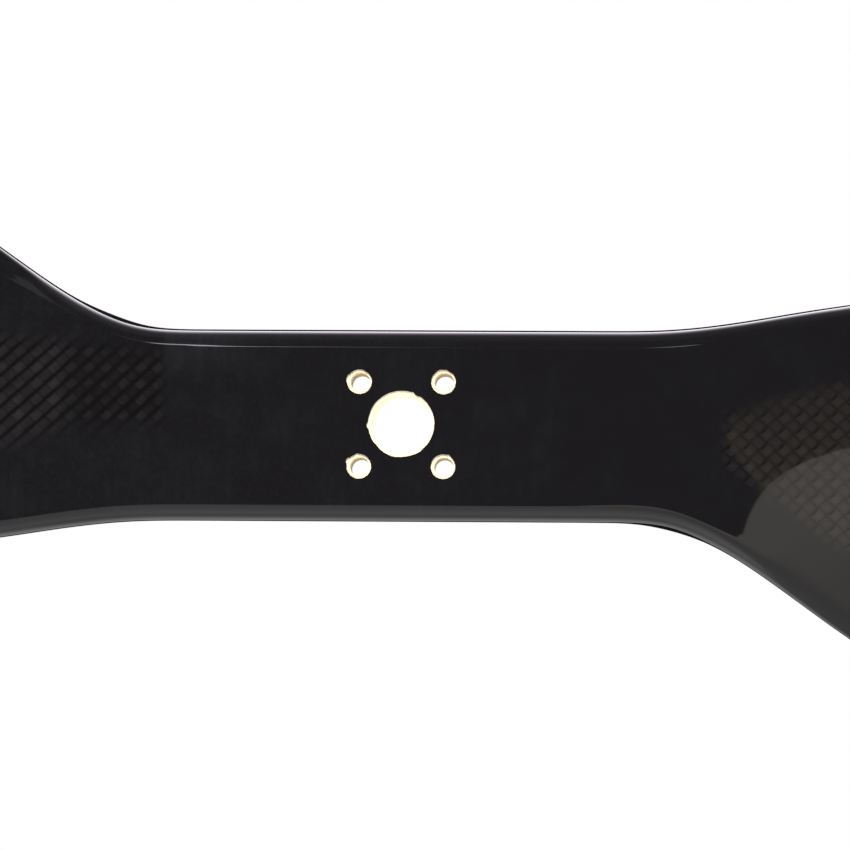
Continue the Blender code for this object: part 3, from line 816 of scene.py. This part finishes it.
def filled_resin(net, point):
    x, y, z = point.split()
    chips = net.voronoi(net.join(x * 0.4, y, z), scale=700.0)
    return {
        "Base Color": net.mix(chips, at0=(0.012, 0.012, 0.013), at1=(0.06, 0.06, 0.062)),
        "Roughness": chips.scaled(by=0.25, plus=0.25),
        "Normal": net.bump(chips, distance=0.00005, strength=0.6),
    }


# ---------------------------------------------------------------- light and camera
# Directions are told by an angle, in degrees from overhead towards the front (-Y), and by x, the
# share along the blades.
MIDDLE_ANGLE, PANEL_ANGLE = 2.0, 11.1  # where the dull middle and the bright front panel begin
MIDDLE_X = -0.04
LEVEL_TOP = 4.0                        # brightness at the top of a level curve
# (angle, brightness): dim overhead and behind, then a backdrop lit from below the horizon
DIM_LEVELS = (
    (-180, 1.6), (-165, 2.6), (-150, 3.4), (-134, 3.4), (-124, 2.3), (-115, 1.3), (-108, 0.6),
    (-98, 0.26), (-86, 0.11), (-60, 0.10), (0, 0.13), (60, 0.13), (180, 0.13))
PANEL_LEVELS = (
    (-180, 1.0), (0, 1.06), (PANEL_ANGLE, 1.06), (PANEL_ANGLE + 10, 1.05),
    (PANEL_ANGLE + 22, 0.95), (60, 0.72), (100, 0.76), (112, 0.98), (128, 1.15), (145, 0.75),
    (180, 0.4))


def level(net, angle, points):
    """Brightness against the angle, straight between the points."""
    made = net.add("ShaderNodeFloatCurve", {"Value": (angle + 180.0) / 360.0})
    curve = made.mapping.curves[0]
    first, *between, last = [((at + 180.0) / 360.0, value / LEVEL_TOP) for at, value in points]
    curve.points[0].location = first
    curve.points[-1].location = last
    for place in between:
        curve.points.new(*place)
    for point in curve.points:
        point.handle_type = "VECTOR"
    made.mapping.update()
    return Signal(net, made.outputs[0]) * LEVEL_TOP


def studio():
    world = bpy.data.worlds.new("studio")
    bpy.context.scene.world = world
    world.use_nodes = True
    net = Graph(world.node_tree)
    x, y, z = net.node("ShaderNodeTexCoord", output="Generated").split()
    angle = net.math("ARCTAN2", y * -1.0, z) * (180 / math.pi)

    # overhead and behind; the backdrop falls off to both sides
    beyond = angle.ramp(start=-98.0, end=-106.0)
    fall = x.ramp(start=0.55, end=0.25, low=0.10) * x.ramp(start=-0.24, end=-0.02, low=0.5)
    dim = level(net, angle, DIM_LEVELS) * beyond.scaled(by=fall - 1.0, plus=1.0)
    dim_colour = net.dimmed((1.0, 0.94, 1.03), dim)
    # the dull middle, left of MIDDLE_X
    middle = (angle.ramp(start=MIDDLE_ANGLE - 0.4, end=MIDDLE_ANGLE + 0.4)
              * x.ramp(start=MIDDLE_X + 0.006, end=MIDDLE_X - 0.006))
    band = x.ramp(start=MIDDLE_X - 0.09, end=MIDDLE_X, low=0.82, high=1.25, kind="LINEAR")
    colour = net.mix(middle, dim_colour, net.dimmed((0.29, 0.255, 0.22), band))
    # a long lamp behind, which draws the line along the far crease
    lamp = angle.ramp(start=-74.0, end=-72.0) * angle.ramp(start=-59.0, end=-61.0) * (
        x.ramp(start=-0.135, end=-0.108) * x.ramp(start=-0.02, end=-0.088, low=0.045))
    lamp = lamp * x.ramp(start=0.12, end=0.06)
    colour = net.mix(lamp, colour, at1=(7.0, 7.0, 7.5))
    # the front panel, warmer towards its upper edge
    tint = net.mix(angle.ramp(start=75.0, end=30.0), at0=(1.0, 0.985, 1.0),
                   at1=(1.035, 0.972, 0.895))
    panel = net.dimmed(tint, level(net, angle, PANEL_LEVELS))
    # a lamp in front, which brightens the near crease where it runs out into the blade
    low_lamp = angle.ramp(start=14.0, end=30.0) * angle.ramp(start=62.0, end=50.0) * (
        x.ramp(start=-0.55, end=-0.40) * x.ramp(start=-0.19, end=-0.27))
    panel = net.mix(low_lamp, panel, at1=(2.5, 2.45, 2.3))
    front = angle.ramp(start=PANEL_ANGLE - 0.3, end=PANEL_ANGLE + 0.3)
    colour = net.mix(front, colour, panel)
    # the camera itself sees plain white
    seen = net.node("ShaderNodeLightPath", output="Is Camera Ray")
    colour = net.mix(seen, colour, at1=(1.0, 1.0, 1.0))
    net.add("ShaderNodeOutputWorld", {0: net.node("ShaderNodeBackground", {0: colour})})


KEY_TILT = math.radians(40)  # from overhead towards the back
KEY_X = -0.095


def key_light():
    """A sun over the back, which lights the bare wood. The gloss shows the long lamp instead."""
    data = bpy.data.lights.new("key", "SUN")
    data.energy = 3.6
    data.angle = math.radians(2.4)
    data.color = (1.0, 0.98, 0.94)
    obj = link_object("key", data)
    obj.visible_glossy = False
    toward = Vector((KEY_X, math.sin(KEY_TILT), math.cos(KEY_TILT))).normalized()
    obj.rotation_euler = (-toward).to_track_quat("-Z", "Y").to_euler()


LENS, SENSOR = 171.36, 36.0
DISTANCE = 680.0
TILT_X, TILT_Y, ROLL = 2.0, 4.2, 0.4   # degrees: lean to the right, lean to the front, roll
AIM = (4.10084, -0.084034, 0.0)        # from the middle of the hub's top face


def camera():
    hub = Vector((0, 0, HUB_THICK / 2))
    lean = Vector((math.tan(math.radians(TILT_X)), -math.tan(math.radians(TILT_Y)), 1.0))
    eye = hub + lean.normalized() * DISTANCE
    data = bpy.data.cameras.new("camera")
    data.lens = LENS
    data.sensor_width = SENSOR
    data.clip_start = 0.01
    data.clip_end = 200.0
    obj = link_object("camera", data)
    back = (eye - hub - Vector(AIM)).normalized()
    right = Vector((0, 1, 0)).cross(back).normalized()
    up = back.cross(right)
    turn = Matrix.Rotation(math.radians(ROLL), 3, back)
    basis = turn @ Matrix((right, up, back)).transposed()
    obj.matrix_world = Matrix.Translation(eye * MM) @ basis.to_4x4()
    bpy.context.scene.camera = obj


# ---------------------------------------------------------------- the object
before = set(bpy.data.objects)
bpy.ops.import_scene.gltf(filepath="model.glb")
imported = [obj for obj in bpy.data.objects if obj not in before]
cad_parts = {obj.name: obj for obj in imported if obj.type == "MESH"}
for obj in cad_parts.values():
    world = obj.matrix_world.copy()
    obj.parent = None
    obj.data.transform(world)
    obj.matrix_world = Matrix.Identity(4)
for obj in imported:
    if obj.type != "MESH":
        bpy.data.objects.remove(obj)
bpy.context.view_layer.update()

CARBON = new_material("woven_carbon_gloss", woven_carbon)
BEECH = new_material("beech_drilled", drilled_beech)
TAPE = new_material("carbon_tape_ud", carbon_tape)
BALSA = new_material("balsa_end_grain", balsa)
FOAM = new_material("foam_closed_cell", foam)
PASTE = new_material("epoxy_paste", paste)
RESIN = new_material("resin_chopped_carbon", filled_resin)

# The first word found in a piece's name sets its material
MATERIAL_WORDS = (
    ("skin", CARBON), ("spar_cap", TAPE), ("tow", TAPE), ("web", BALSA),
    ("nose_core", FOAM), ("tail_core", FOAM), ("tip_fill", RESIN))


def material_for(name):
    if name == "hub_core":
        return BEECH
    return next((mat for word, mat in MATERIAL_WORDS if word in name), PASTE)


for node_name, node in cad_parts.items():
    node.data.materials.clear()
    node.data.materials.append(material_for(node_name))


def stand_for(piece, cad_name):
    piece.data.shade_smooth()
    piece.data.set_sharp_from_angle(angle=math.radians(40))
    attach(piece, "root")
    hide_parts(cad_name)


stand_for(skin("upper_cloth", 1), "upper_skin")
stand_for(skin("lower_cloth", -1), "lower_skin")
stand_for(hub_block(), "hub_core")

studio()
key_light()
camera()
bpy.context.scene.view_settings.view_transform = "Standard"
